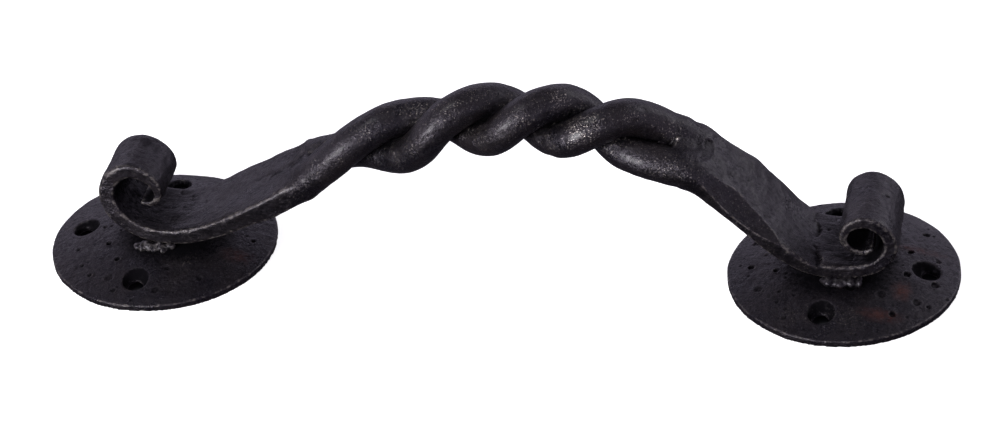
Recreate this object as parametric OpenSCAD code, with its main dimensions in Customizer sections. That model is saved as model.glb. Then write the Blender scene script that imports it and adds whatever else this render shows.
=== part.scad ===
// Twisted wrought iron pull handle on two domed roses.
// X runs along the handle, Y across it and Z away from the door. The origin
// lies midway between the roses, on the face that they are screwed to.

/* [Roses] */
// Distance between the centres of the two roses
rose_spacing = 195; // [194:0.5:196]
// Diameter of each rose
rose_d = 64; // [60:1:72]
// Height of a rose's domed middle above the door
rose_rise = 7.4; // [6:0.1:7.4]
// Height of the dome's outer surface at the rim
rose_rim = 1.8; // [1.4:0.1:2.4]
// Thickness of the iron in the middle of a rose
rose_t = 2.8; // [2.4:0.1:3.4]
// Width of the flat rim that bears on the door
rose_land = 3; // [2:0.5:5]

/* [Screw holes] */
// Radius of the circle that the screw holes lie on
screw_r = 24; // [22:0.5:26]
// Diameter of the clearance hole
screw_d = 4.6; // [4:0.1:5]
// Diameter of the countersink where it meets the dome
sink_d = 7.8; // [7:0.1:9]

/* [Twisted pair] */
// Diameter of each round strand
strand_d = 10.2; // [9:0.1:10.4]
// Length over which a strand's end is flattened and squares up to its strap
square_up = 8; // [4:1:12]
// Thickness that the forge welds are hammered down to
weld_t = 8.6; // [8:0.1:10]

/* [Straps] */
// Widening of both straps beyond their drawn width
strap_extra = 0; // [-1:0.5:1]
// Squareness of a flat strap's edges: 2 is an ellipse, more is sharper
edge_power = 9; // [3:0.5:10]

/* [Welds] */
// Length of each weld bead that holds a strap to its rose
bead_l = 13; // [8:1:18]
// Diameter of the weld metal laid along the strap's edge
bead_d = 4.4; // [3.6:0.2:5]

/* [Hidden] */
rose_x = rose_spacing / 2;
dome_h = rose_rise - rose_rim;
dome_r = (pow(rose_d / 2, 2) + pow(dome_h, 2)) / (2 * dome_h);
hollow_h = rose_rise - rose_t;
hollow_r = (pow(rose_d / 2 - rose_land, 2) + pow(hollow_h, 2)) / (2 * hollow_h);
strand_sides = 20;
strand_rings = 80;
strap_sides = 24;
strap_steps = 5;
// How far a cutting shape runs past the iron that it cuts
cut_over = 1;
// Step along a curve, in stations, that its direction is measured over
nudge = 0.01;
// A strap's first section stands this much proud of the two strands that it takes in
weld_proud = 0.2;
// A section this many times wider than thick starts to square up, and by this power for each time more
round_ratio = 1.4;
square_rate = 2.6;

// Directions of the three hand-drilled holes from each rose's centre
left_holes = [180, -94, 94];
right_holes = [-5, -99, 99];

// The pair's centreline, one station for each quarter turn: distance along X and height
pair = [[-62, 22.5], [-37.7, 35.8], [-22.2, 41.1], [-9.5, 46.2], [1.7, 47.6],
    [12, 48.6], [22.4, 48], [32.2, 46.6], [44, 43.3], [66, 32.6]];
// Turn of the pair at its first station, which brings the strands side by side at both welds
first_turn = 54;
// Where the strands begin and end, in quarter turns along the pair
weld_left = 0.52;
weld_right = 8.52;

// Where each strap rests on its rose: its width there and the height of its underside
left_seat = [21.8, 7.5];
right_seat = [24, 7.7];
// The beads lie a little towards +X of each rose's centre, just outside and below the strap's edge
bead_shift = 1;
bead_out = 0.3;
bead_down = 0.6;

// Stations of each strap beyond its weld, as far as the curled tip:
// distance along X, height, width, thickness and turn about its own length
left_stations = [
    [-56, 25.6, 23.4, 6.9, 0],
    [-63, 21.5, 24, 6.2, 0],
    [-70.5, 17.5, 23.8, 5.9, 0],
    [-78, 13.9, 23.2, 5.6, 0],
    [-86, 11, 22.2, 5.2, 0],
    [-94, 10.1, 21.4, 4.9, 0],
    [-101, 11.6, 20.4, 4.8, 0],
    [-106.7, 15.8, 19.5, 4.9, 0],
    [-109, 22, 18.4, 4.9, 0],
    [-107, 27.8, 17.2, 4.8, 0],
    [-101.5, 30.5, 16.6, 4.6, 0],
    [-96, 28, 16.4, 3.8, 0],
    [-94, 23.4, 16.4, 2.8, 0],
    [-95.8, 20, 16.2, 1.9, 0],
    [-99.4, 19.9, 16, 1.2, 0]
];
right_stations = [
    [60.4, 36.6, 20.2, 8, 16],
    [65.8, 32, 21.2, 6.8, 10],
    [71.2, 26.7, 22.8, 6, 5],
    [77, 20.8, 24.2, 5.6, 2],
    [83, 15, 24.8, 5.2, 0],
    [89, 10.9, 24.4, 4.4, 0],
    [95, 9.8, 24, 4.2, 0],
    [102, 10, 23.6, 4.1, 0],
    [108.3, 12.4, 23.2, 4.1, 0],
    [111.6, 17.6, 23, 4.1, 0],
    [110.3, 22.9, 22.9, 4, 0],
    [105.5, 26, 22.8, 3.8, 0],
    [100.8, 24.6, 22.7, 3, 0],
    [98.9, 20.8, 22.6, 2.2, 0],
    [100.6, 17.4, 22.5, 1.7, 0],
    [104.2, 16.2, 22.4, 1.5, 0],
    [107, 17.6, 22.4, 1.2, 0]
];

function unit(v) = v / norm(v);
function row(list, i) = list[max(0, min(len(list) - 1, i))];
// A smooth curve through b and c, with a before them and d after, at t from 0 to 1
function between(a, b, c, d, t) = 0.5 * (2 * b + (c - a) * t
    + (2 * a - 5 * b + 4 * c - d) * t * t + (3 * b - a - 3 * c + d) * t * t * t);
function at(list, u) =
    let (i = max(0, min(len(list) - 2, floor(u))))
    between(row(list, i - 1), list[i], list[i + 1], row(list, i + 2), u - i);
function smooth(list, steps) = [for (i = [0 : (len(list) - 1) * steps]) at(list, i / steps)];

// Closed skin over rings of equally many points, with flat ends
module skin(rings) {
    n = len(rings[0]);
    last = len(rings) - 1;
    sides = [
        for (i = [0 : last - 1], k = [0 : n - 1])
            [i * n + k, i * n + (k + 1) % n, (i + 1) * n + (k + 1) % n, (i + 1) * n + k]
    ];
    first_cap = [for (k = [0 : n - 1]) n - 1 - k];
    last_cap = [for (k = [0 : n - 1]) last * n + k];
    polyhedron([for (ring = rings) each ring], concat([first_cap, last_cap], sides), convexity = 10);
}

// The pair's centreline in space and its direction, at u quarter turns
function pair_point(u) = let (p = at(pair, u)) [p[0], 0, p[1]];
function pair_ahead(u) = unit(pair_point(u + nudge) - pair_point(u - nudge));
function strand_centre(u, side) =
    let (up = cross(pair_ahead(u), [0, 1, 0]), a = first_turn - 90 * u + side)
    pair_point(u) + strand_d / 2 * (cos(a) * [0, 1, 0] + sin(a) * up);
function strand_ring(u, side) =
    let (
        along = unit(strand_centre(u + nudge, side) - strand_centre(u - nudge, side)),
        left_gap = norm(pair_point(u) - pair_point(weld_left)),
        right_gap = norm(pair_point(u) - pair_point(weld_right)),
        square = max(0, 1 - min(left_gap, right_gap) / square_up),
        ahead = unit(square * pair_ahead(u) + (1 - square) * along),
        up = unit(cross(ahead, [0, 1, 0])),
        across = cross(up, ahead),
        flat = 1 - square * (1 - weld_t / strand_d)
    )
    [for (k = [0 : strand_sides - 1])
        let (a = 360 * k / strand_sides)
        strand_centre(u, side) + strand_d / 2 * (cos(a) * across + flat * sin(a) * up)];
module strand(side) {
    skin([for (i = [0 : strand_rings])
        strand_ring(weld_left + (weld_right - weld_left) * i / strand_rings, side)]);
}

// A strap's section is a rectangle with softened corners, squarer where the strap is flatter
function soft(v, power) = sign(v) * pow(abs(v), 2 / power);
function strap_ring(s, ahead) =
    let (
        up = cross(ahead, [0, 1, 0]),
        wide = cos(s[4]) * [0, 1, 0] + sin(s[4]) * up,
        thick = cos(s[4]) * up - sin(s[4]) * [0, 1, 0],
        power = min(edge_power, 2 + square_rate * max(0, s[2] / s[3] - round_ratio))
    )
    [for (k = [0 : strap_sides - 1])
        let (a = 360 * (k + 0.5) / strap_sides)
        [s[0], 0, s[1]] + (s[2] + strap_extra) / 2 * soft(cos(a), power) * wide
            + s[3] / 2 * soft(sin(a), power) * thick];
// The strap starts square on the pair's centreline, as wide as the two strands together
module strap(stations, weld, toward_tip) {
    p = pair_point(weld);
    turn = first_turn - 90 * weld;
    start = [p[0], p[2], 2 * strand_d + weld_proud, weld_t + weld_proud, turn - 180 * round(turn / 180)];
    s = smooth(concat([start], stations), strap_steps);
    ahead = [for (i = [0 : len(s) - 1])
        let (d = toward_tip * (row(s, i + 1) - row(s, i - 1)))
        i == 0 ? pair_ahead(weld) : unit([d[0], 0, d[1]])];
    rings = [for (i = [0 : len(s) - 1]) strap_ring(s[i], ahead[i])];
    skin(toward_tip > 0 ? rings : [for (i = [len(s) - 1 : -1 : 0]) rings[i]]);
}

module rose(holes) {
    difference() {
        intersection() {
            translate([0, 0, rose_rise - dome_r]) sphere(r = dome_r, $fn = 200);
            cylinder(d = rose_d, h = rose_rise + cut_over, $fn = 128);
        }
        translate([0, 0, hollow_h - hollow_r]) sphere(r = hollow_r, $fn = 200);
        for (a = holes) rotate([0, 0, a]) translate([screw_r, 0, 0]) screw_hole();
    }
}
module screw_hole() {
    surface_z = rose_rise - dome_h * pow(screw_r / (rose_d / 2), 2);
    translate([0, 0, -cut_over]) cylinder(d = screw_d, h = rose_rise + 2 * cut_over, $fn = 48);
    translate([0, 0, surface_z - (sink_d - screw_d) / 2])
        cylinder(d1 = screw_d, d2 = 2 * sink_d - screw_d, h = sink_d - screw_d, $fn = 48);
}

// Weld metal between a strap's long edge and the dome, on the side -1 or 1
module weld(side, seat) {
    strap_w = seat[0];
    underside = seat[1];
    y = side * (strap_w / 2 + bead_out);
    difference() {
        translate([0, y, underside - bead_down]) {
            rotate([0, 90, 0]) cylinder(d = bead_d, h = bead_l - bead_d, center = true, $fn = 32);
            for (end = [-1, 1]) translate([end * (bead_l - bead_d) / 2, 0, 0]) sphere(d = bead_d, $fn = 32);
        }
        translate([0, 0, rose_rise - dome_r]) sphere(r = dome_r, $fn = 200);
        translate([-bead_l, -strap_w / 2, underside]) cube([2 * bead_l, strap_w, bead_d]);
    }
}

module left_rose() { color("#26242a") translate([-rose_x, 0, 0]) rose(left_holes); }
module right_rose() { color("#26242a") translate([rose_x, 0, 0]) rose(right_holes); }
module strand_a() { color("#2c2a2f") strand(0); }
module strand_b() { color("#2a282e") strand(180); }
module left_strap() { color("#28262c") strap(left_stations, weld_left, -1); }
module right_strap() { color("#28262c") strap(right_stations, weld_right, 1); }
module left_front_weld() { color("#6a686c") translate([-rose_x + bead_shift, 0, 0]) weld(-1, left_seat); }
module left_back_weld() { color("#6a686c") translate([-rose_x + bead_shift, 0, 0]) weld(1, left_seat); }
module right_front_weld() { color("#4a484c") translate([rose_x + bead_shift, 0, 0]) weld(-1, right_seat); }
module right_back_weld() { color("#4a484c") translate([rose_x + bead_shift, 0, 0]) weld(1, right_seat); }

left_rose();
right_rose();
strand_a();
strand_b();
left_strap();
right_strap();
left_front_weld();
left_back_weld();
right_front_weld();
right_back_weld();
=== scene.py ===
import itertools
import math

import bmesh
import bpy
import numpy as np
from mathutils import Matrix, Vector
from mathutils.bvhtree import BVHTree
from mathutils.kdtree import KDTree


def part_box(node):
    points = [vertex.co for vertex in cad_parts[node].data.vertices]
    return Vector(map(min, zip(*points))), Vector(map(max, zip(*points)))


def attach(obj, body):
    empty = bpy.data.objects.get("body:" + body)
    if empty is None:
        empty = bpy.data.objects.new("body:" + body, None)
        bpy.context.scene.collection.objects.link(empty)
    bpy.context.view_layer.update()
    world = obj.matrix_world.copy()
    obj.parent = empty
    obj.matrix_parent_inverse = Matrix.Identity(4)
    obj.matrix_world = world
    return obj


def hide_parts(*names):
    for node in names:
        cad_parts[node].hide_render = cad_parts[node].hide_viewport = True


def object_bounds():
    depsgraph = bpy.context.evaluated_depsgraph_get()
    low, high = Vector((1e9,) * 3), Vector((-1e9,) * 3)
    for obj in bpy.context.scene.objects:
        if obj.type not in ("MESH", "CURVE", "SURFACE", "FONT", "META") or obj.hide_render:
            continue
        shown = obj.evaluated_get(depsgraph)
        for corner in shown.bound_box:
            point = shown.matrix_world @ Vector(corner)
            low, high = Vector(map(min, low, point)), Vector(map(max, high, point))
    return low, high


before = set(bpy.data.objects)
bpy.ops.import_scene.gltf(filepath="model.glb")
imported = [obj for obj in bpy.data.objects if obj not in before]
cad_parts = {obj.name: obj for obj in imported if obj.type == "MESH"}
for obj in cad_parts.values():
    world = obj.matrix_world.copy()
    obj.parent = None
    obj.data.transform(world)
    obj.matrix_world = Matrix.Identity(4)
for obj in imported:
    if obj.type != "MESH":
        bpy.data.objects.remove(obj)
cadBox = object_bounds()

mm = 0.001
scene = bpy.context.scene
low, high = np.array(cadBox[0]) / mm, np.array(cadBox[1]) / mm
middle = (low + high) / 2
roseCentre = {}
for side in ("left", "right"):
    corners = [np.array(corner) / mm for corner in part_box(side + "_rose")]
    roseCentre[side] = (corners[0] + corners[1]) / 2
roseRadius = (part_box("left_rose")[1][1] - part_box("left_rose")[0][1]) / mm / 2
print("frame loaded, roses at x", [round(float(c[0]), 1) for c in roseCentre.values()], "mm")


# ---- camera, floor and light

# angles in degrees, distances in mm: aside and above move the camera without turning it
cameraSet = dict(
    azimuth=14.232, elevation=35.442, roll=-5.828,
    distance=862.4, aside=3.3, above=-12.0, lens=112.42,
)


def addCamera():
    a, e, roll = (math.radians(cameraSet[k]) for k in ("azimuth", "elevation", "roll"))
    ahead = Vector((-math.sin(a) * math.cos(e), math.cos(a) * math.cos(e), -math.sin(e)))
    level = Vector((math.cos(a), math.sin(a), 0))
    right = level * math.cos(roll) + level.cross(ahead) * math.sin(roll)
    up = right.cross(ahead)
    data = bpy.data.cameras.new("camera")
    data.lens = cameraSet["lens"]
    camera = bpy.data.objects.new("camera", data)
    scene.collection.objects.link(camera)
    place = Vector(middle) - ahead * cameraSet["distance"]
    place += right * cameraSet["aside"] + up * cameraSet["above"]
    camera.matrix_world = Matrix.Translation(place * mm) @ Matrix((right, up, -ahead)).transposed().to_4x4()
    scene.camera = camera


# carries one socket, through shader trees and geometry trees alike, so that maths reads as maths
class Wire:
    def __init__(self, tree, socket=None):
        self.tree = tree
        self.socket = socket

    def node(self, kind, settings=None, inputs=None, out=0):
        made = self.tree.nodes.new(kind)
        for name, value in (settings or {}).items():
            setattr(made, name, value)
        for key, value in (inputs or {}).items():
            if isinstance(value, Wire):
                self.tree.links.new(value.socket, made.inputs[key])
            else:
                made.inputs[key].default_value = value
        return Wire(self.tree, made.outputs[out])

    def math(self, operation, *values):
        return self.node("ShaderNodeMath", dict(operation=operation), dict(enumerate(values)))

    # a distance or a dot product comes out of the node's second socket, a vector out of its first
    def vector(self, operation, *values, out=0):
        return self.node("ShaderNodeVectorMath", dict(operation=operation), dict(enumerate(values)), out)

    def scaled(self, factor):
        return self.node("ShaderNodeVectorMath", dict(operation="SCALE"), {0: self, "Scale": factor})

    def clamp(self):
        return self.node("ShaderNodeClamp", None, dict(Value=self))

    # 0 up to the start, 1 from the end on, and even between them
    def step(self, start, end):
        return ((self - start) * (1 / (end - start))).clamp()

    def blend(self, first, second):
        return self.node("ShaderNodeMix", dict(data_type="RGBA"), {0: self, 6: first, 7: second}, 2)

    def __add__(self, other):
        return self.math("ADD", self, other)

    def __radd__(self, other):
        return self.math("ADD", other, self)

    def __sub__(self, other):
        return self.math("SUBTRACT", self, other)

    def __rsub__(self, other):
        return self.math("SUBTRACT", other, self)

    def __mul__(self, other):
        return self.math("MULTIPLY", self, other)

    def __rmul__(self, other):
        return self.math("MULTIPLY", other, self)

    def __truediv__(self, other):
        return self.math("DIVIDE", self, other)


# sizes in mm; the floor is pale and glows a little, but carries painted shade, dark and unlit, behind each
# rose's hollow and holes
floorSet = dict(
    size=4000.0, drop=0.15, colour=(0.93, 0.93, 0.93, 1), shadeBehindRose=(0.04, 0.04, 0.045, 1),
    inset=3.0, edge=1.0, roughness=0.9, glow=0.75, glowColour=(1, 1, 1, 1), noGlow=(0, 0, 0, 1),
)


def addFloor():
    half = floorSet["size"] / 2
    corners = [(-half, -half), (half, -half), (half, half), (-half, half)]
    mesh = bpy.data.meshes.new("floor")
    mesh.from_pydata([Vector((x, y, -floorSet["drop"])) * mm for x, y in corners], [], [(0, 1, 2, 3)])
    floor = bpy.data.objects.new("floor", mesh)
    scene.collection.objects.link(floor)
    material = bpy.data.materials.new("paleFloor")
    material.use_nodes = True
    shader = material.node_tree.nodes["Principled BSDF"]
    wire = Wire(material.node_tree)
    place = wire.node("ShaderNodeTexCoord", out=3).scaled(1 / mm)
    # painted shade under each rose: the floor turns dark and stops glowing there
    roseShadeMask = 0.0
    for centre in roseCentre.values():
        away = place.vector("DISTANCE", place, (centre[0], centre[1], 0.0), out=1)
        start = roseRadius - floorSet["inset"]
        roseShadeMask = roseShadeMask + (1 - away.step(start, start + floorSet["edge"]))
    for label, clear, behind in (
            ("Base Color", "colour", "shadeBehindRose"), ("Emission Color", "glowColour", "noGlow")):
        colour = roseShadeMask.blend(floorSet[clear], floorSet[behind])
        material.node_tree.links.new(colour.socket, shader.inputs[label])
    shader.inputs["Roughness"].default_value = floorSet["roughness"]
    shader.inputs["Emission Strength"].default_value = floorSet["glow"]
    mesh.materials.append(material)
    floor.visible_glossy = False
    floor.visible_diffuse = False


# the sky is a pale room: bright walls up to the shoulder, a dimmer ceiling and a dark bench below
skySet = dict(
    wall=(1.14, 1.05, 1.33, 1), ceiling=(0.17, 0.157, 0.2, 1), bench=(0.08, 0.073, 0.095, 1),
    ceilingFrom=0.16, ceilingTo=0.54, edge=0.06)
# each lamp: width, place and aim in mm, power in watts
lampSet = dict(
    window=(300, (-470, -740, 230), (0, 0, 40), 12.5),
    rightWall=(420, (640, 380, 420), (0, 0, 40), 1.9),
    overhead=(240, (-260, -170, 700), (0, 0, 30), 1.2),
)


def addLight():
    world = bpy.data.worlds.new("sky")
    world.use_nodes = True
    scene.world = world
    tree = world.node_tree
    wire = Wire(tree)
    direction = wire.node("ShaderNodeTexCoord")
    height = wire.node("ShaderNodeSeparateXYZ", None, {0: direction}, out=2)
    edge = skySet["edge"]
    overhead = height.step(skySet["ceilingFrom"], skySet["ceilingTo"])
    colour = overhead.blend(skySet["wall"], skySet["ceiling"])
    colour = height.step(-edge, edge).blend(skySet["bench"], colour)
    tree.links.new(colour.socket, tree.nodes["Background"].inputs["Color"])
    for name, (width, place, aim, power) in lampSet.items():
        data = bpy.data.lights.new(name, "AREA")
        data.size = width * mm
        data.energy = power
        lamp = bpy.data.objects.new(name, data)
        scene.collection.objects.link(lamp)
        lamp.location = Vector(place) * mm
        lamp.rotation_euler = (Vector(aim) - Vector(place)).to_track_quat("-Z", "Y").to_euler()
    scene.view_settings.view_transform = "Standard"


addCamera()
addFloor()
addLight()
print("camera, floor and light are set")


# ---- working the iron: arrays of points in millimetres

def points(mesh):
    flat = np.empty(len(mesh.vertices) * 3, np.float32)
    mesh.vertices.foreach_get("co", flat)
    return flat.reshape(-1, 3).astype(float) / mm


def setPoints(mesh, places):
    mesh.vertices.foreach_set("co", (places * mm).astype(np.float32).ravel())
    mesh.update()


def normals(mesh):
    flat = np.empty(len(mesh.vertices) * 3, np.float32)
    mesh.vertices.foreach_get("normal", flat)
    return flat.reshape(-1, 3).astype(float)


def edges(mesh):
    flat = np.empty(len(mesh.edges) * 2, np.int32)
    mesh.edges.foreach_get("vertices", flat)
    return flat.reshape(-1, 2)


# each value becomes the mean of its neighbours' values, so many times over
def spread(mesh, values, rounds):
    ends = edges(mesh)
    both = np.concatenate([ends[:, 0], ends[:, 1]])
    other = np.concatenate([ends[:, 1], ends[:, 0]])
    count = np.maximum(np.bincount(both, minlength=len(values)), 1)
    columns = values.reshape(len(values), -1)
    for _ in range(rounds):
        sums = [np.bincount(both, weights=column[other], minlength=len(values)) for column in columns.T]
        columns = np.stack(sums, axis=1) / count[:, None]
    return columns.reshape(values.shape)


def ramp(values, start, end):
    t = np.clip((values - start) / (end - start), 0, 1)
    return t * t * (3 - 2 * t)


# smooth noise of one feature size in space, between -1 and 1
def lumps(places, size, seed):
    cell = places / size + 100.0 + seed * 7.31
    whole = np.floor(cell).astype(np.int64)
    part = cell - whole
    part = part * part * (3 - 2 * part)
    total = np.zeros(len(places))
    for corner in itertools.product((0, 1), repeat=3):
        key = whole + np.array(corner)
        mixed = (key[:, 0] * 73856093) ^ (key[:, 1] * 19349663) ^ (key[:, 2] * 83492791) ^ (seed * 2654435)
        mixed = (mixed ^ (mixed >> 13)) * 1274126177 & 0x7FFFFFFF
        mixed = (mixed ^ (mixed >> 15)) & 0xFFFF
        share = np.prod(np.where(corner, part, 1 - part), axis=1)
        total += share * (mixed / 32767.5 - 1)
    return total


# how far each point stands above the mean of its surroundings, so many rounds wide
def proud(mesh, places, outward, rounds):
    return np.einsum("ij,ij->i", outward, places - spread(mesh, places, rounds))


# a hammer strikes where the iron bends and dips less than this, each measured over so many rounds
struckSet = dict(bend=0.06, bendRounds=6, dip=0.04, dipRounds=40)


# picks places on flat stretches, so many rounds in from an edge, with that much open air before them
def struckSpots(mesh, places, outward, allowed, count, rng, margin, clearance):
    bend = np.abs(proud(mesh, places, outward, struckSet["bendRounds"]))
    rough = spread(mesh, (bend > struckSet["bend"]).astype(float), margin)
    hollow = proud(mesh, places, outward, struckSet["dipRounds"]) < -struckSet["dip"]
    flat = np.flatnonzero(allowed & (rough == 0) & ~hollow)
    solid = BVHTree.FromPolygons(places.tolist(), [face.vertices[:] for face in mesh.polygons])
    spots = []
    for pick in rng.choice(flat, count):
        start = Vector(places[pick] + outward[pick] * 0.5)
        if solid.ray_cast(start, Vector(outward[pick]), clearance)[0] is None:
            spots.append(pick)
    return np.array(spots, int)


# a crowned hammer face of that radius, driven to that depth at each place
def hammer(places, outward, spots, directions, radius, depths, mask=None):
    for spot, direction, depth in zip(spots, directions, depths):
        centre = spot + direction * (radius - depth)
        away = places - centre
        distance = np.linalg.norm(away, axis=1)
        near = np.linalg.norm(places - spot, axis=1) < 1.5 * math.sqrt(2 * radius * depth)
        inside = near & (distance < radius) & (outward @ direction > -0.2)
        if mask is not None:
            inside &= mask
        places[inside] = centre + away[inside] * (radius / distance[inside])[:, None]
    return places


def evaluated(piece):
    piece.update_tag()
    graph = bpy.context.evaluated_depsgraph_get()
    return bpy.data.meshes.new_from_object(piece.evaluated_get(graph))


def newPiece(name, mesh):
    piece = bpy.data.objects.new(name, mesh)
    scene.collection.objects.link(piece)
    return piece


# one skin of even faces over whatever closed shapes the mesh holds
def reskinned(piece, voxel):
    modifier = piece.modifiers.new("skin", "REMESH")
    modifier.mode = "VOXEL"
    modifier.voxel_size = voxel * mm
    mesh = evaluated(piece)
    piece.modifiers.clear()
    piece.data = mesh
    mesh.shade_smooth()
    return mesh


# one object holding a copy of each mesh, kept whole or cut to what lies beyond a plane
def joined(name, parts):
    whole = bmesh.new()
    for source, plane in parts:
        work = bmesh.new()
        work.from_mesh(source)
        bmesh.ops.remove_doubles(work, verts=work.verts, dist=0.001 * mm)
        if plane is not None:
            spot, direction = plane
            everything = work.verts[:] + work.edges[:] + work.faces[:]
            plane = dict(plane_co=Vector(spot) * mm, plane_no=Vector(direction))
            cut = bmesh.ops.bisect_plane(work, geom=everything, clear_inner=True, **plane)
            rim = [item for item in cut["geom_cut"] if isinstance(item, bmesh.types.BMEdge)]
            bmesh.ops.contextual_create(work, geom=rim)
        part = bpy.data.meshes.new("part")
        work.to_mesh(part)
        work.free()
        whole.from_mesh(part)
        bpy.data.meshes.remove(part)
    mesh = bpy.data.meshes.new(name)
    whole.to_mesh(mesh)
    whole.free()
    return newPiece(name, mesh)


# the height in mm that counts as full relief, over a fine and over a broad width
reliefSet = dict(strand=(0.02, 0.16), strap=(0.03, 0.2), rose=(0.03, 0.22), weld=(0.03, 0.2))


# edges and ridges are above 0 and hollows below it
def storeRelief(mesh, kind):
    fine, broad = reliefSet[kind]
    places, outward = points(mesh), normals(mesh)
    raised = proud(mesh, places, outward, 2) / fine
    wide = proud(mesh, places, outward, 14) / broad
    relief = np.clip(0.25 * raised + 0.75 * wide, -1, 1)
    store(mesh, "relief", relief)
    return relief


# painted shade: 1 where another surface lies close by, falling to 0 over the reach given
def storeShade(mesh, others, reach, least=0.5):
    tree = KDTree(len(others))
    for i, place in enumerate(others.tolist()):
        tree.insert(place, i)
    tree.balance()
    gap = np.array([tree.find(place)[2] for place in points(mesh).tolist()])
    shade = 1 - ramp(gap, least, reach)
    store(mesh, "shade", shade)
    return shade


def store(mesh, name, values):
    layer = mesh.attributes.get(name) or mesh.attributes.new(name, "FLOAT", "POINT")
    layer.data.foreach_set("value", values.astype(np.float32))


# ---- the iron's finishes

finishSet = dict(
    # colours of the blackened iron, of what shows where it wears or rusts, of the dark coat for soot and
    # painted shade, and of its reflections
    black=(0.0016, 0.0014, 0.0022, 1), brown=(0.0045, 0.0034, 0.0034, 1), bare=(0.24, 0.215, 0.20, 1),
    rust=(0.042, 0.0115, 0.006, 1), slag=(0.12, 0.11, 0.108, 1), sootAndShade=(0.0012, 0.0010, 0.0016, 1),
    tint=(0.93, 0.84, 1.0, 1),
    # roughness of clean and of dull iron, its gloss, and the wax on it
    sheen=0.22, dull=0.42, gloss=0.27, wax=0.05, rubbedWax=0.16, waxRoughness=0.25,
    sootAndShadeRoughness=0.9, sootAndShadeGloss=0.04,
    # how bright worn edges and flecks (partly a painted highlight) are, and how strongly soot mottles the
    # rest
    wear=0.24, sparkle=0.95, shine=0.85, mottle=0.55,
    # widths of the patterns in mm, and the height of the bump
    fleckSize=0.5, grainSize=0.35, drawnSize=0.56, mottleSize=1.1, wornSize=1.3, flakeSize=1.5,
    rustSize=1.6, slagSize=1.0, islandSize=3.2, patchSize=9.0, bump=0.42,
    # where each pattern starts to show and where it is full
    patchSpan=(0.38, 0.66), islandSpan=(0.50, 0.54), wornSpan=(1.76, 1.92), fleckSpan=(0.652, 0.712),
    slagSpan=(0.45, 0.55), rustSpan=(0.1, 0.9), pinholeSpan=(0.30, 0.42), mottleSpan=(0.47, 0.63),
)


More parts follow.
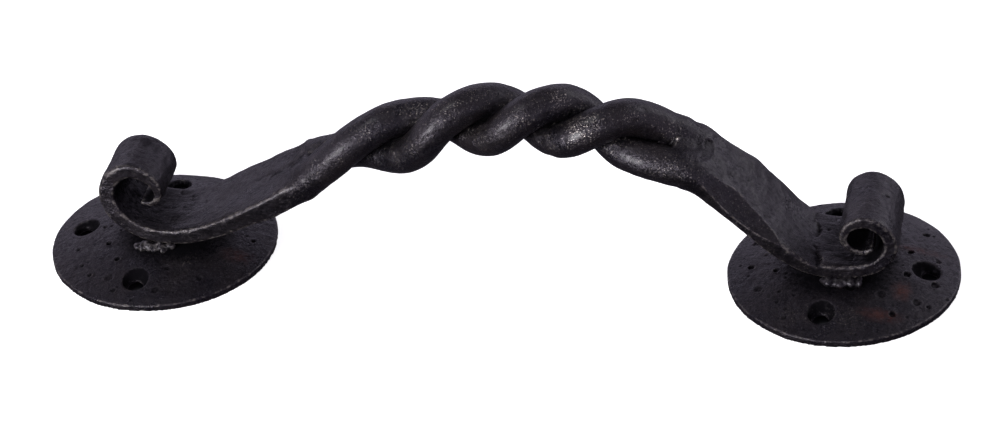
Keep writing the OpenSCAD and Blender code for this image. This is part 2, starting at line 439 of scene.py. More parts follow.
# flecks and edgeWear say how worn a piece is, the flecks partly a painted highlight; streak turns and
# stretches the grain along it
def iron(name, flecks=1.0, edgeWear=1.0, rough=0.0, streak=None, slag=0.0):
    material = bpy.data.materials.new(name)
    material.use_nodes = True
    tree = material.node_tree
    shader = tree.nodes["Principled BSDF"]
    sootAndShade = tree.nodes.new("ShaderNodeBsdfPrincipled")
    wire = Wire(tree)
    place = wire.node("ShaderNodeTexCoord", out=3).scaled(1 / mm)
    drawn = place
    if streak:
        turned = dict(Vector=place, Rotation=streak[0], Scale=streak[1])
        drawn = wire.node("ShaderNodeMapping", None, turned)

    def noise(kind, detail=3.0, roughness=0.6, at=place):
        size = finishSet[kind + "Size"]
        settings = dict(Vector=at, Scale=1 / size, Detail=detail, Roughness=roughness)
        return wire.node("ShaderNodeTexNoise", None, settings)

    def attribute(label):
        return wire.node("ShaderNodeAttribute", dict(attribute_name=label), out=2)

    relief = attribute("relief")
    rubAndHighlight = attribute("rubAndHighlight")
    rust = attribute("rust")
    shade = attribute("shade")
    # the patterns: broad patches, fine grain, flakes of scale, islands of thicker scale, and flecks
    patch = noise("patch", 4).step(*finishSet["patchSpan"])
    grain = noise("grain", 4, 0.7)
    drawnGrain = noise("drawn", 4, 0.65, at=drawn)
    flake = noise("flake", 5, 0.62)
    island = noise("island", 4, 0.6).step(*finishSet["islandSpan"])
    fleck = noise("fleck", 3, 0.7)
    # bare metal shows on edges, in flecks where hands rub and the lamp's highlight falls (partly a painted
    # highlight), and in slag
    worn = (relief * edgeWear + noise("worn", 4, 0.7) * 1.7).step(*finishSet["wornSpan"])
    sparkle = (fleck + rubAndHighlight * 0.11).step(*finishSet["fleckSpan"]) * flecks * (rubAndHighlight * 0.8 + 0.3)
    slagged = slag * noise("slag", 3).step(*finishSet["slagSpan"])
    bright = (worn * finishSet["wear"] + sparkle * finishSet["sparkle"] + slagged).clamp()
    rusty = (rust * (noise("rust", 5, 0.75) * 2.6 - 0.62)).step(*finishSet["rustSpan"])
    colour = patch.blend(finishSet["black"], finishSet["brown"])
    colour = bright.blend(colour, finishSet["slag"] if slag else finishSet["bare"])
    colour = rusty.blend(colour, finishSet["rust"])
    dulling = finishSet["dull"] - finishSet["sheen"]
    roughness = finishSet["sheen"] + rough + patch * dulling * 0.5
    roughness = roughness + flake * 0.10 + rusty * 0.3 - bright * 0.06
    pinhole = 1 - fleck.step(*finishSet["pinholeSpan"])
    height = grain * 0.14 + drawnGrain * 0.34 + flake * 0.7 + island * 0.1 - pinhole * 0.25
    bumped = dict(Strength=1.0, Distance=finishSet["bump"] * mm, Height=height)
    for label, source in {
        "Base Color": colour, "Metallic": bright * finishSet["shine"], "Roughness": roughness.clamp(),
        "Coat Weight": (1 - rusty) * (rubAndHighlight * finishSet["rubbedWax"] + finishSet["wax"]),
        "Normal": wire.node("ShaderNodeBump", None, bumped),
    }.items():
        tree.links.new(source.socket, shader.inputs[label])
    shader.inputs["Specular IOR Level"].default_value = finishSet["gloss"]
    shader.inputs["Specular Tint"].default_value = finishSet["tint"]
    shader.inputs["Coat Roughness"].default_value = finishSet["waxRoughness"]
    sootAndShade.inputs["Base Color"].default_value = finishSet["sootAndShade"]
    sootAndShade.inputs["Roughness"].default_value = finishSet["sootAndShadeRoughness"]
    sootAndShade.inputs["Specular IOR Level"].default_value = finishSet["sootAndShadeGloss"]
    # a dull dark coat: painted shade in shaded places and hollows, soot that mottles the rest, and off
    # wherever bare metal shows
    mottle = noise("mottle", 5, 0.8, at=drawn).step(*finishSet["mottleSpan"]) * finishSet["mottle"]
    sootAndShadeAmount = (shade - relief * 0.45 + mottle + (flake - 0.5) * 0.4 - 0.06 - bright).clamp()
    clean, dark = Wire(tree, shader.outputs[0]), Wire(tree, sootAndShade.outputs[0])
    mixed = wire.node("ShaderNodeMixShader", None, {0: sootAndShadeAmount, 1: clean, 2: dark})
    tree.links.new(mixed.socket, tree.nodes["Material Output"].inputs["Surface"])
    return material


roseIron = iron("roseIron", flecks=0.5, edgeWear=0.9)
strandIron = iron("strandIron", flecks=1.0, edgeWear=0.5)
strapIron = iron("strapIron", flecks=0.7, edgeWear=0.95, streak=((0.0, 0.0, 0.06), (0.28, 1.3, 1.0)))
# the right bead has little slag, and its darker copy also paints the shade it lies in
weldIron = dict(
    left=iron("slaggyWeldIron", flecks=0.5, edgeWear=0.6, rough=0.1, slag=0.4),
    right=iron("shadedWeldIron", flecks=0.4, edgeWear=0.5, rough=0.05, slag=0.06))
print("finishes are mixed")


# ---- twisted pair: two round strands laid round one arched line

strandSet = dict(
    # the pair's centreline, x and height, one point for each quarter turn, as the bar is drawn in the CAD
    line=[(-62, 22.5), (-37.7, 35.8), (-22.2, 41.1), (-9.5, 46.2), (1.7, 47.6),
          (12, 48.6), (22.4, 48), (32.2, 46.6), (44, 43.3), (66, 32.6)],
    radius=5.16, layRadius=4.96, firstTurn=54.0,
    # where along the line both welds lie, how far the strands run past them and how finely they are drawn
    welds=(0.52, 8.52), past=0.03, steps=50, sides=72,
    # each end is beaten square over this much of the line, to this share of its height
    squareOver=0.34, square=(0.90, 0.99),
    # the hammer's marks and the slow undulation
    blows=70, blowRadius=26.0, blowDepth=(0.05, 0.16), undulation=0.75,
    # how close the other strand casts painted shade on this one
    shadeReach=3.2,
)


# a smooth line through those points, at u quarter turns from its start
def linePoint(u):
    line = strandSet["line"]
    i = min(max(int(math.floor(u)), 0), len(line) - 2)
    t = u - i
    a, b, c, d = (np.array(line[min(max(k, 0), len(line) - 1)], float) for k in (i - 1, i, i + 1, i + 2))
    curve = (2 * a - 5 * b + 4 * c - d) * t ** 2 + (3 * b - a - 3 * c + d) * t ** 3
    x, z = 0.5 * (2 * b + (c - a) * t + curve)
    return np.array([x, 0, z])


def lineAhead(u):
    step = linePoint(u + 0.01) - linePoint(u - 0.01)
    return step / np.linalg.norm(step)


def newTree(name, inputs):
    tree = bpy.data.node_groups.new(name, "GeometryNodeTree")
    kinds = dict(Geometry="Geometry", **inputs)
    for label, kind in kinds.items():
        tree.interface.new_socket(name=label, in_out="INPUT", socket_type="NodeSocket" + kind)
    tree.interface.new_socket(name="Geometry", in_out="OUTPUT", socket_type="NodeSocketGeometry")
    start = tree.nodes.new("NodeGroupInput")
    given = {label: Wire(tree, start.outputs[label]) for label in kinds}
    return tree, given


# every tree ends in real faces that carry their own material
def endTree(tree, geometry, material):
    wire = Wire(tree)
    real = wire.node("GeometryNodeRealizeInstances", None, dict(Geometry=geometry))
    finished = wire.node("GeometryNodeSetMaterial", None, dict(Geometry=real, Material=material))
    end = tree.nodes.new("NodeGroupOutput")
    tree.links.new(finished.socket, end.inputs["Geometry"])
    return tree


def grown(piece, tree, values):
    modifier = piece.modifiers.new(tree.name, "NODES")
    modifier.node_group = tree
    for item in tree.interface.items_tree:
        if item.item_type == "SOCKET" and item.in_out == "INPUT" and item.name in values:
            modifier[item.identifier] = values[item.name]
    mesh = evaluated(piece)
    piece.modifiers.remove(modifier)
    piece.data = mesh
    return mesh


def twistTree():
    tree, given = newTree("twistedStrand", {
        "Strand radius": "Float", "Lay radius": "Float", "First turn": "Float", "Side": "Float",
        "From": "Float", "To": "Float", "Square over": "Float", "First square": "Float",
        "Last square": "Float", "Sides": "Int", "Iron": "Material"})
    wire = Wire(tree)
    station = wire.node("GeometryNodeInputNamedAttribute", dict(data_type="FLOAT"), dict(Name="station"))
    before = wire.node("FunctionNodeCompare", dict(operation="LESS_THAN"), {0: station, 1: given["From"]})
    after = wire.node("FunctionNodeCompare", dict(operation="GREATER_THAN"), {0: station, 1: given["To"]})
    outside = wire.node("FunctionNodeBooleanMath", dict(operation="OR"), {0: before, 1: after})
    stretch = wire.node(
        "GeometryNodeDeleteGeometry", dict(domain="POINT"),
        dict(Geometry=given["Geometry"], Selection=outside))
    line = wire.node("GeometryNodeMeshToCurve", None, dict(Mesh=stretch))
    ahead = wire.node("GeometryNodeInputTangent")
    across = wire.node("ShaderNodeCombineXYZ", None, dict(Y=1.0))
    up = wire.vector("CROSS_PRODUCT", ahead, across)
    degrees = given["First turn"] + given["Side"] - station * 90.0
    turn = degrees * (math.pi / 180)
    sideways = across.scaled(turn.math("COSINE", turn))
    swing = sideways.vector("ADD", sideways, up.scaled(turn.math("SINE", turn)))
    atFirst = 1 - ((station - given["From"]) / given["Square over"]).clamp()
    atLast = 1 - ((given["To"] - station) / given["Square over"]).clamp()

    def remember(geometry, label, value, kind):
        return wire.node(
            "GeometryNodeStoreNamedAttribute", dict(data_type=kind, domain="POINT"),
            dict(Geometry=geometry, Name=label, Value=value))

    def remembered(label, kind):
        return wire.node("GeometryNodeInputNamedAttribute", dict(data_type=kind), dict(Name=label))

    # each point of the line remembers the pair's middle, which way is up, and how squared it is
    marked = remember(line, "pairMiddle", wire.node("GeometryNodeInputPosition"), "FLOAT_VECTOR")
    marked = remember(marked, "pairUp", up, "FLOAT_VECTOR")
    squashed = atFirst * (given["First square"] - 1) + atLast * (given["Last square"] - 1)
    marked = remember(marked, "squashed", squashed, "FLOAT")
    offset = swing.scaled(given["Lay radius"])
    laid = wire.node("GeometryNodeSetPosition", None, dict(Geometry=marked, Offset=offset))
    ring = wire.node(
        "GeometryNodeCurvePrimitiveCircle", dict(mode="RADIUS"),
        dict(Resolution=given["Sides"], Radius=given["Strand radius"]))
    tube = wire.node(
        "GeometryNodeCurveToMesh", None,
        {"Curve": laid, "Profile Curve": ring, "Fill Caps": True})
    pairUp = remembered("pairUp", "FLOAT_VECTOR")
    pairMiddle = remembered("pairMiddle", "FLOAT_VECTOR")
    fromMiddle = wire.vector("SUBTRACT", wire.node("GeometryNodeInputPosition"), pairMiddle)
    rise = wire.vector("DOT_PRODUCT", fromMiddle, pairUp, out=1)
    offset = pairUp.scaled(rise * remembered("squashed", "FLOAT"))
    tube = wire.node("GeometryNodeSetPosition", None, dict(Geometry=tube, Offset=offset))
    smooth = wire.node("GeometryNodeSetShadeSmooth", None, dict(Geometry=tube))
    return endTree(tree, smooth, given["Iron"])


def strandLine(name):
    first, last = (w + s * strandSet["past"] for w, s in zip(strandSet["welds"], (-1, 1)))
    count = int((last - first) * strandSet["steps"])
    stations = np.linspace(first, last, count + 1)
    mesh = bpy.data.meshes.new(name)
    mesh.from_pydata([Vector(linePoint(u)) * mm for u in stations], [(i, i + 1) for i in range(count)], [])
    store(mesh, "station", stations)
    return newPiece(name, mesh), first, last


# slow undulation left by the hammer, the same everywhere in space so that joined pieces agree
def undulated(places, outward, amount):
    push = 0.17 * lumps(places, 6.5, 1) + 0.09 * lumps(places, 2.6, 2) + 0.04 * lumps(places, 1.2, 3)
    return places + outward * (push * amount)[:, None]


# hands rub the near side of the crowns, most of all in the middle of the grip; the facing is turned to
# where the lamp's highlight falls, so the bright flecks there are partly a painted highlight
rubAndHighlightSet = dict(
    middle=8.0, reach=56.0, facing=(-0.1, -0.7, 0.707), facingSpan=(0.3, 0.92), least=0.35, cloud=5.0,
)


def handRubAndHighlight(mesh):
    places, outward = points(mesh), normals(mesh)
    least = rubAndHighlightSet["least"]
    along = np.exp(-((places[:, 0] - rubAndHighlightSet["middle"]) / rubAndHighlightSet["reach"]) ** 2)
    facing = ramp(outward @ np.array(rubAndHighlightSet["facing"]), *rubAndHighlightSet["facingSpan"])
    cloudy = ramp(lumps(places, rubAndHighlightSet["cloud"], 21), -0.5, 0.7)
    return facing * (least + (1 - least) * along) * (least + (1 - least) * cloudy)


def makeStrands():
    tree = twistTree()
    made = []
    for name, side in (("strand_a", 0.0), ("strand_b", 180.0)):
        piece, first, last = strandLine("twisted_" + name)
        values = {
            "Strand radius": strandSet["radius"] * mm, "Lay radius": strandSet["layRadius"] * mm,
            "First turn": strandSet["firstTurn"], "Side": side, "From": first, "To": last,
            "Square over": strandSet["squareOver"], "First square": strandSet["square"][0],
            "Last square": strandSet["square"][1], "Sides": strandSet["sides"], "Iron": strandIron}
        mesh = grown(piece, tree, values)
        places, outward = points(mesh), normals(mesh)
        rng = np.random.default_rng(5 + int(side))
        picks = rng.integers(0, len(places), strandSet["blows"])
        depths = rng.uniform(*strandSet["blowDepth"], len(picks))
        hammer(places, outward, places[picks], outward[picks], strandSet["blowRadius"], depths)
        setPoints(mesh, undulated(places, outward, strandSet["undulation"]))
        storeRelief(mesh, "strand")
        store(mesh, "rubAndHighlight", handRubAndHighlight(mesh))
        store(mesh, "rust", np.zeros(len(places)))
        made.append((piece, name, "strand"))
        print(piece.name, len(mesh.polygons), "faces")
    first, second = (piece.data for piece, node, slot in made)
    # painted shade in the cleft where the two strands lie close
    storeShade(first, points(second), strandSet["shadeReach"])
    storeShade(second, points(first), strandSet["shadeReach"])
    return made


strandPieces = makeStrands()


# ---- straps: the welded pair drawn out flat, then curled at its tip

strapSet = dict(
    # the skin's step, how far it runs over the strands, and how it swells at the weld and sinks beyond it
    voxel=0.36, reach=10.0, swell=0.2, sink=0.3, seeds=dict(left=11, right=12),
    # the hammer's marks: how many, its crown, how deep, how far from edges, and the room that it needs
    blows=170, blowRadius=30.0, blowDepth=(0.05, 0.2), blowMargin=4, clearance=30.0,
    # the weld is hammered smooth from so far before it to so far after it, and the rest is crisp
    softBefore=6.0, softAfter=12.0, softRounds=14, crispness=1.1, crispFrom=(6.0, 16.0),
    # how far up the bar the cleft is closed, how far below the crests, and how far it runs on
    closed=dict(left=2.0, right=5.8),
    closedBelow=dict(left=0.9, right=0.6),
    cleftRuns=dict(left=22.0, right=7.0), cleftWidth=2.0,
    # the near strand's crest: height, place across the strap, width, and how far it runs on
    crest=0.8, crestAt=-5.5, crestWidth=2.6, crestRuns=12.0,
    # how far the rear edge and the front underside are raised, at each distance beyond the weld, the
    # places across the strap between which that sets in, and how far below its middle line
    rearFrom=(-2.0, 9.0), underFrom=(2.0, 9.0), underDeep=(-1.0, 3.0),
    rearLift=dict(
        left=[(-4, 0), (0, -0.2), (3, -0.2), (7, 0.2), (14, 0.7), (21, 0.8), (32, 0.4), (42, 0)],
        right=[(-10, 0), (-4, 1.3), (0, 1.0), (3, -0.3), (6, -1.3), (10, -1.0),
               (14, -0.2), (18, 0.7), (25, 0.6), (31, 0.5), (38, 0)]),
    underLift=dict(
        left=[(-4, 0), (0, 0.1), (4, -0.2), (8, -0.7), (14, -0.6), (20, 0)],
        right=[(-6, 0), (-2, 0.6), (4, 0.4), (9, 0)]),
)


# the place where a strap meets the twisted bar, the way to the bar and the way up
def weldFrame(side):
    sign, weld = (-1, strandSet["welds"][0]) if side == "left" else (1, strandSet["welds"][1])
    ahead = lineAhead(weld)
    return weld, sign, linePoint(weld), -sign * ahead, np.array([-ahead[2], 0, ahead[0]])


# the cleft between the strands is closed just before the weld, in step with the twist
def closeCleft(places, side):
    weld, sign, spot, toBar, up = weldFrame(side)
    fromWeld, height = (places - spot) @ toBar, (places - spot) @ up
    stations = weld - sign * np.linspace(-0.1, 0.6, 30)
    line = np.array([linePoint(u) - spot for u in stations])
    station = np.interp(fromWeld, line @ toBar, stations)
    height = height - np.interp(fromWeld, line @ toBar, line @ up)
    turn = np.radians(strandSet["firstTurn"] - station * 90)
    across = places[:, 1] * np.cos(turn) + height * np.sin(turn)
    rise = height * np.cos(turn) - places[:, 1] * np.sin(turn)
    level = strandSet["radius"] - strapSet["closedBelow"][side]
    lift = np.sign(rise) * np.maximum(level - np.abs(rise), 0)
    lift *= (fromWeld > -0.5) & (fromWeld < strapSet["closed"][side]) & (np.abs(across) < 4)
    sideways = np.array([0, 1, 0])
    return places + lift[:, None] * (np.cos(turn)[:, None] * up - np.sin(turn)[:, None] * sideways)


def strapSkin(side):
    weld, sign, spot, toBar, up = weldFrame(side)
    cut = (spot + toBar * strapSet["reach"], -toBar)
    strands = [(piece.data, cut) for piece, node, slot in strandPieces]
    piece = joined("flattened_" + side + "_strap", [(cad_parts[side + "_strap"].data, None)] + strands)
    mesh = reskinned(piece, strapSet["voxel"])
    places = closeCleft(points(mesh), side)
    fromWeld = (places - spot) @ toBar          # above 0 towards the bar, below 0 along the strap
    facing = np.abs(normals(mesh) @ up)
    # beyond the weld the cleft runs on as a shallow groove, and the near strand's crest dies away
    groove = strapSet["closedBelow"][side] * (1 - ramp(-fromWeld, 0, strapSet["cleftRuns"][side]))
    groove *= np.exp(-(places[:, 1] / strapSet["cleftWidth"]) ** 2)
    crest = strapSet["crest"] * (1 - ramp(-fromWeld, 0, strapSet["crestRuns"]))
    crest *= np.exp(-((places[:, 1] - strapSet["crestAt"]) / strapSet["crestWidth"]) ** 2)
    change = (crest - groove) * (fromWeld < 0) * ramp(facing, 0.2, 0.7)
    places = places + normals(mesh) * change[:, None]
    rear = np.interp(-fromWeld, *zip(*strapSet["rearLift"][side]))
    rear *= ramp(places[:, 1], *strapSet["rearFrom"])
    under = np.interp(-fromWeld, *zip(*strapSet["underLift"][side]))
    under *= ramp(-places[:, 1], *strapSet["underFrom"])
    under *= ramp((spot - places) @ up, *strapSet["underDeep"])
    places = places + up * (rear + under)[:, None]
    # the weld is smoothed, and the flat strap beyond it gets its edges back
    near = ramp(-fromWeld, -strapSet["softBefore"], 0.0) * (1 - ramp(-fromWeld, 0.0, strapSet["softAfter"]))
    soft = spread(mesh, places, 2)
    softer = spread(mesh, soft, strapSet["softRounds"])
    places = soft + (softer - soft) * near[:, None]
    flat = ramp(-fromWeld, *strapSet["crispFrom"])[:, None]
    places = places + (places - spread(mesh, places, 4)) * strapSet["crispness"] * flat
    setPoints(mesh, places)
    return piece, mesh, fromWeld


# single heavy blows on the front edge: where along X, which way the struck face looks, the hammer's
# crown, how deep, how far the worn ridge round the mark (bare metal and a painted highlight) reaches, how
# wide it is and where it starts
strapStrikes = dict(
    left=[],
    right=[dict(
        x=69.5, facing=(0.5, -0.62, 0.6), radius=56, depth=2.2,
        ridgeReach=17, ridgeWidth=0.3, ridgeFrom=(9.0, 14.0))],
)


# hammers the strap all over and returns how strongly a worn ridge, bare metal with a painted highlight,
# shows at each point
def finishStrap(mesh, fromWeld, seed, strikes):
    places, outward = points(mesh), normals(mesh)
    rng = np.random.default_rng(seed)
    free = fromWeld < -2
    wornRidgeAndHighlight = np.zeros(len(places))
    for strike in strikes:
        direction = np.array(strike["facing"], float)
        direction /= np.linalg.norm(direction)
        within = np.flatnonzero(free & (np.abs(places[:, 0] - strike["x"]) < 0.8))
        spot = places[within[np.argmax(places[within] @ direction)]]
        centre = spot + direction * (strike["radius"] - strike["depth"])
        clear = np.linalg.norm(places - centre, axis=1) - strike["radius"]
        close = np.linalg.norm(places - spot, axis=1) < strike["ridgeReach"]
        ragged = ramp(lumps(places, 1.6, 51) + 0.5 * lumps(places, 0.7, 52), -0.5, 0.5)
        ragged *= ramp(-fromWeld, *strike["ridgeFrom"])
        line = (clear > 0) * np.exp(-(clear / strike["ridgeWidth"]) ** 2)
        wornRidgeAndHighlight = np.maximum(wornRidgeAndHighlight, close * ragged * line)
        hammer(places, outward, [spot], [direction], strike["radius"], [strike["depth"]], free)
    setPoints(mesh, places)
    outward = normals(mesh)
    picks = struckSpots(
        mesh, places, outward, free, strapSet["blows"], rng, strapSet["blowMargin"], strapSet["clearance"])
    depths = rng.uniform(*strapSet["blowDepth"], len(picks))
    hammer(places, outward, places[picks], outward[picks], strapSet["blowRadius"], depths, free)
    setPoints(mesh, places)
    outward = normals(mesh)
    # over the bar the skin only covers the strands' ends, and sinks out of sight beneath them
    places = undulated(places, outward, 1 - ramp(fromWeld, -3.0, 3.0))
    cover = strapSet["swell"] * (1 - ramp(-fromWeld, 0, 8))
    cover -= (strapSet["swell"] + strapSet["sink"]) * ramp(fromWeld, 2.0, strapSet["reach"])
    setPoints(mesh, places + outward * cover[:, None])
    return wornRidgeAndHighlight


# a chisel or fold mark seen from above: a narrow valley between two points of the upper face
def crease(mesh, start, end, width, depth, lowest, highest):
    places, outward = points(mesh), normals(mesh)
    a, b = np.array(start, float), np.array(end, float)
    along = b - a
    share = np.clip((places[:, :2] - a) @ along / (along @ along), 0, 1)
    distance = np.linalg.norm(places[:, :2] - (a + share[:, None] * along), axis=1)
    strength = np.exp(-(distance / width) ** 2) * ramp(outward[:, 2], 0.1, 0.5)
    strength *= (places[:, 2] > lowest) & (places[:, 2] < highest)
    strength *= np.clip(1.5 - 1.5 * np.abs(2 * share - 1) ** 3, 0, 1)
    setPoints(mesh, places - outward * (depth * strength)[:, None])


# marks on each upper face: start, end, width, depth, and the heights between which the face lies
strapMarks = dict(
    left=[((-47, 0.6), (-58, 1.8), 0.7, 0.3, 20, 50), ((-55, 1.6), (-69, 1.8), 0.6, 0.16, 15, 40)],
    right=[((90.0, -3.6), (93.2, -9.4), 0.32, 0.14, 9, 18), ((87.0, 6.2), (88.4, 2.6), 0.4, 0.10, 9, 20),
           ((88.4, 1.3), (90.2, -2.2), 0.4, 0.12, 9, 18), ((90.8, -8.2), (92.0, -11.0), 0.35, 0.10, 9, 18),
           ((93.0, 4.9), (93.6, 4.1), 0.5, 0.35, 9, 18), ((109.6, 2.4), (110.0, 1.6), 0.5, 0.35, 20, 30)],
)
# raised slivers of weld: place, width, height
strapSpurs = dict(left=[], right=[((52.4, 0.2, 43.4), 0.5, 1.2), ((53.8, -0.6, 44.0), 0.5, 0.7)])
# the middle of each curl, x and height, and how far its hollow reaches
strapCurls = dict(left=((-99.3, 24.5), 6.6), right=((106.5, 18.6), 5.6))


# painted shade: the hollow of a curl is dark, and so is the strap's upper face below it
def curlShade(mesh, curl):
    (x, z), reach = curl
    places, outward = points(mesh), normals(mesh)
    inward = np.stack([x - places[:, 0], z - places[:, 2]], axis=1)
    distance = np.linalg.norm(inward, axis=1)
    looks = np.einsum("ij,ij->i", inward, outward[:, [0, 2]]) / np.maximum(distance, 0.5)
    inside = ramp(looks, 0.1, 0.6) * (1 - ramp(distance, reach, reach + 3.5))
    below = ramp(outward[:, 2], 0.2, 0.7) * ramp(z - places[:, 2], 2, 6)
    below *= 1 - ramp(distance, reach + 2, reach + 12)
    # painted shade also darkens the strap's two narrow sides away from the curl
    sides = ramp(np.abs(outward[:, 1]), 0.8, 0.97) * ramp(distance, reach + 4, reach + 12)
    return np.maximum(np.maximum(inside, 0.65 * below), 0.5 * sides)


def makeStrap(side):
    piece, mesh, fromWeld = strapSkin(side)
    wornRidgeAndHighlight = finishStrap(mesh, fromWeld, strapSet["seeds"][side], strapStrikes[side])
    for mark in strapMarks[side]:
        crease(mesh, *mark)
    places, outward = points(mesh), normals(mesh)
    spur = np.zeros(len(places))
    for spot, width, height in strapSpurs[side]:
        spur += height * np.exp(-(np.linalg.norm(places - np.array(spot), axis=1) / width) ** 2)
    setPoints(mesh, places + outward * spur[:, None])
    relief = storeRelief(mesh, "strap")
    # the worn ridge brightens the facet's edge as wear and as a painted highlight
    store(mesh, "relief", np.clip(relief + wornRidgeAndHighlight * 0.9 + spur, -1, 1.3))
    store(mesh, "rubAndHighlight", handRubAndHighlight(mesh) + spur * 3 + wornRidgeAndHighlight * 0.8)
    store(mesh, "shade", curlShade(mesh, strapCurls[side]))
    store(mesh, "rust", np.zeros(len(mesh.vertices)))
    mesh.materials.clear()
    mesh.materials.append(strapIron)
    print(piece.name, len(mesh.polygons), "faces")
    return piece, side + "_strap", "strap"


strapPieces = [makeStrap(side) for side in ("left", "right")]


# ---- roses: dished discs, pitted and punched, with hand drilled and countersunk screw holes

roseSet = dict(
    voxel=0.34, crispness=0.8, seeds=dict(left=31, right=32),
    # the hammer's marks: how many, its crown, how deep, how far from edges, and the room that it needs
    blows=90, blowRadius=70.0, blowDepth=(0.03, 0.1), blowMargin=14, clearance=2.0,
    # how far the rim wanders, over what width, and how far it is grown to the right and to the left
    rimWander=0.25, rimWidth=6.0, rimTurn=0.17, grown=dict(left=(0.85, 0.45), right=(0.1, -0.15)),
    # small pits at random: how many, how far they stay from the rim, widths, depths
    smallPits=70, pitInset=2.0, pitWidth=(0.7, 1.3), pitDepth=(0.08, 0.25), lip=0.2,
    # how close the strap casts its painted shadow on the rose, and the painted shade on the walls of pits
    # and holes
    shadeReach=8.5, shadeLeast=1.5, wallShade=0.9, wallInset=3.0,
)
# each pit: place from the rose's centre, width across its mouth, depth
rosePits = dict(
    left=[
        (-13.3, -9.1, 1.5, 0.6), (-8.8, -15.8, 1.5, 0.6), (-15.9, -21.2, 1.3, 0.45),
        (-9.5, -22.6, 2.6, 0.25), (-19.3, -17.3, 1.2, 0.3), (6.4, -18.3, 1.8, 0.25),
        (16.2, -20.3, 1.8, 0.3), (5, -26.3, 2.2, 0.3), (27, -1.6, 1.3, 0.5),
        (-16.7, -1.4, 1.2, 0.4), (-7.2, -27, 1.4, 0.35), (-22.3, -10.4, 1.3, 0.3)],
    right=[
        (-24.9, -3.6, 1.7, 0.6), (-17.6, -6.5, 1.5, 0.5), (-24.8, 7.3, 2.4, 0.3),
        (-21.7, -13.2, 2.2, 0.25), (-9, 22.8, 1.4, 0.45), (21.6, 15.5, 2.0, 0.5),
        (18.1, 4.7, 1.8, 0.6), (25.8, 3, 1.5, 0.45), (18, -5.5, 2.1, 0.6),
        (25.7, -7.2, 2.3, 0.45), (21.3, -15.4, 2.4, 0.35), (15.3, -21.1, 1.9, 0.5),
        (24.5, -16, 1.4, 0.3), (11.6, -14.8, 2.6, 0.25), (3.5, -13.4, 3.0, 0.3)],
)
# each rusty patch: place from the rose's centre, reach along X and Y, strength
roseRust = dict(
    left=[(24, -9, 5, 3, 0.5)],
    right=[(20, 6.5, 8, 1.8, 0.9), (17, -12, 2.6, 3.4, 1.0), (12, -22, 6, 2.2, 0.75)],
)


def makeRose(side):
    name = side + "_rose"
    piece = joined("dished_" + name, [(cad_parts[name].data, None)])
    mesh = reskinned(piece, roseSet["voxel"])
    centre = roseCentre[side]
    places = points(mesh)
    places = spread(mesh, places, 1)
    places = places + (places - spread(mesh, places, 3)) * roseSet["crispness"]
    setPoints(mesh, places)
    outward = normals(mesh)
    rng = np.random.default_rng(roseSet["seeds"][side])
    upper = outward[:, 2] > 0.5
    flatPlace = places[:, :2] - centre[:2]
    reach = np.linalg.norm(flatPlace, axis=1)
    picks = struckSpots(
        mesh, places, outward, upper, roseSet["blows"], rng, roseSet["blowMargin"], roseSet["clearance"])
    depths = rng.uniform(*roseSet["blowDepth"], len(picks))
    hammer(places, outward, places[picks], outward[picks], roseSet["blowRadius"], depths, upper)
    # the rim wanders a little, as a hand cut disc does
    angle = np.arctan2(flatPlace[:, 1], flatPlace[:, 0])
    circle = np.stack([np.cos(angle), np.sin(angle), np.zeros(len(angle))], axis=1) * roseRadius
    wander = roseSet["rimWander"] * (0.6 * lumps(circle, 14, 41) + 0.4 * lumps(circle, 4, 42))
    turned = np.cos(angle + roseSet["rimTurn"])
    toRight, toLeft = roseSet["grown"][side]
    wander += toRight * np.clip(turned, 0, 1) ** 2 + toLeft * np.clip(-turned, 0, 1) ** 2
    rim = ramp(reach, roseRadius - roseSet["rimWidth"], roseRadius)
    places[:, :2] += (flatPlace / np.maximum(reach, 1)[:, None]) * (wander * rim)[:, None]
    # pits go down from the upper face, each with a raised lip
    drop = np.zeros(len(places))
    small = rng.uniform(-1, 1, (roseSet["smallPits"], 2)) * (roseRadius - roseSet["pitInset"])
    extra = [(x, y, rng.uniform(*roseSet["pitWidth"]), rng.uniform(*roseSet["pitDepth"])) for x, y in small]
    for x, y, width, depth in rosePits[side] + extra:
        away = np.hypot(flatPlace[:, 0] - x, flatPlace[:, 1] - y) * (1 + 0.15 * lumps(places, 1.5, 43))
        bowl = np.clip(1 - (away / (width / 2)) ** 4, 0, 1)
        lip = np.exp(-((away - width / 2 - 0.2) / 0.25) ** 2)
        drop += depth * (bowl - roseSet["lip"] * lip)
    above = ramp(places[:, 2], 0.3, 1.4) * upper
    ripple = 0.07 * lumps(places, 7, 44) + 0.04 * lumps(places, 2.4, 45) + 0.02 * lumps(places, 1.0, 46)
    places[:, 2] += (ripple - drop) * above
    setPoints(mesh, places)
    rust = np.zeros(len(places))
    for x, y, wide, deep, strength in roseRust[side]:
        away = ((flatPlace[:, 0] - x) / wide) ** 2 + ((flatPlace[:, 1] - y) / deep) ** 2
        rust += strength * np.exp(-away)
    storeRelief(mesh, "rose")
    store(mesh, "rust", np.clip(rust, 0, 1))
    store(mesh, "rubAndHighlight", ramp(lumps(places, 9, 47), 0.0, 0.9) * 0.6)
    strap = next(piece.data for piece, node, slot in strapPieces if node == side + "_strap")
    # painted shadow of the strap on the rose
    near = storeShade(mesh, points(strap), roseSet["shadeReach"], roseSet["shadeLeast"])
    # painted shade darkens the walls of pits and countersinks
    wall = ramp(-normals(mesh)[:, 2], -0.9, -0.72) * (reach < roseRadius - roseSet["wallInset"])
    store(mesh, "shade", np.maximum(near, wall * roseSet["wallShade"]))
    mesh.materials.clear()
    mesh.materials.append(roseIron)
    print(piece.name, len(mesh.polygons), "faces")
    return piece, name, "rose"


rosePieces = [makeRose(side) for side in ("left", "right")]


# ---- weld beads: overlapping ripples along each strap's edge

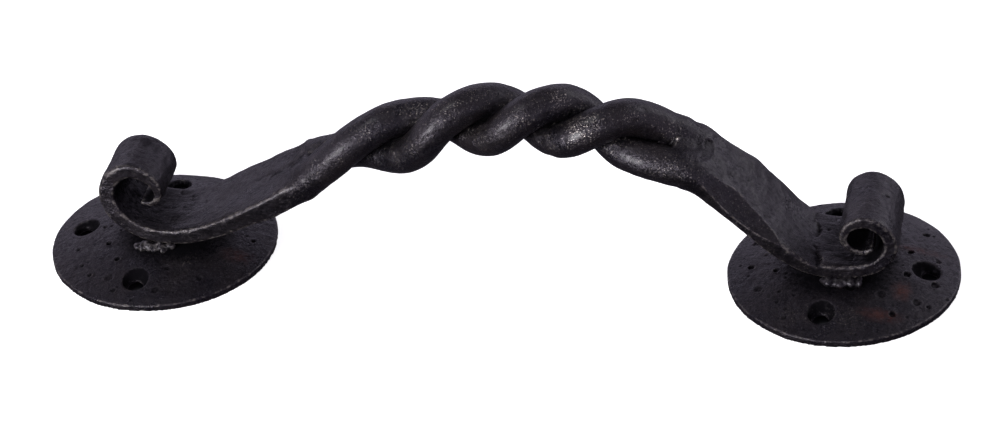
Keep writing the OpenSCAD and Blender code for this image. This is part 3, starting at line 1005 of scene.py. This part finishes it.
weldSet = dict(
    # step between ripples, their radius, the skin's step, and a seed for each bead
    pitch=0.85, radius=1.9, voxel=0.26,
    seeds=dict(left_front_weld=3, left_back_weld=8, right_front_weld=13, right_back_weld=21),
)


def beadTree():
    tree, given = newTree("weldRipples", {
        "Pitch": "Float", "Ripple radius": "Float", "Seed": "Int", "Iron": "Material"})
    wire = Wire(tree)
    line = wire.node("GeometryNodeMeshToCurve", None, dict(Mesh=given["Geometry"]))
    spacing = dict(Curve=line, Length=given["Pitch"])
    spaced = wire.node("GeometryNodeResampleCurve", dict(mode="LENGTH"), spacing)
    ball = wire.node("GeometryNodeMeshIcoSphere", None, dict(Radius=given["Ripple radius"], Subdivisions=3))
    size = wire.node(
        "FunctionNodeRandomValue", dict(data_type="FLOAT_VECTOR"),
        {0: (0.4, 0.55, 0.4), 1: (1.0, 1.15, 0.9), "Seed": given["Seed"]})
    sway = wire.node(
        "FunctionNodeRandomValue", dict(data_type="FLOAT_VECTOR"),
        {0: (-0.0003, -0.0006, -0.0007), 1: (0.0003, 0.0006, 0.0), "Seed": given["Seed"] + 5.0})
    moved = wire.node("GeometryNodeSetPosition", None, dict(Geometry=spaced, Offset=sway))
    ripples = wire.node("GeometryNodeInstanceOnPoints", None, dict(Points=moved, Instance=ball, Scale=size))
    return endTree(tree, ripples, given["Iron"])


def makeWelds():
    tree = beadTree()
    made = []
    for name, seed in weldSet["seeds"].items():
        lowest, highest = (np.array(corner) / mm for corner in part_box(name))
        radius = weldSet["radius"]
        y = (lowest[1] + highest[1]) / 2
        z = highest[2] - radius
        ends = [(lowest[0] + radius, y, z), (highest[0] - radius, y, z)]
        mesh = bpy.data.meshes.new(name)
        mesh.from_pydata([Vector(end) * mm for end in ends], [(0, 1)], [])
        piece = newPiece("rippled_" + name, mesh)
        metal = weldIron[name.split("_")[0]]
        grown(piece, tree, {
            "Pitch": weldSet["pitch"] * mm, "Ripple radius": radius * mm, "Seed": seed, "Iron": metal})
        mesh = reskinned(piece, weldSet["voxel"])
        places = spread(mesh, points(mesh), 2)
        setPoints(mesh, places)
        outward = normals(mesh)
        places += outward * (0.3 * lumps(places, 1.7, seed) + 0.14 * lumps(places, 0.7, seed + 1))[:, None]
        setPoints(mesh, places)
        storeRelief(mesh, "weld")
        store(mesh, "rubAndHighlight", np.full(len(places), 0.4))
        store(mesh, "rust", ramp(lumps(places, 4, seed + 2), 0.2, 0.9) * 0.4)
        # painted shade, darker towards the foot of each bead
        store(mesh, "shade", 1 - ramp(places[:, 2], lowest[2], highest[2] - 0.8))
        mesh.materials.clear()
        mesh.materials.append(metal)
        made.append((piece, name, "weld"))
        print(piece.name, len(mesh.polygons), "faces")
    return made


weldPieces = makeWelds()


# ---- each piece stands for one part of the frame

for piece, node, slot in strandPieces + strapPieces + rosePieces + weldPieces:
    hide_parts(node)
    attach(piece, "root")
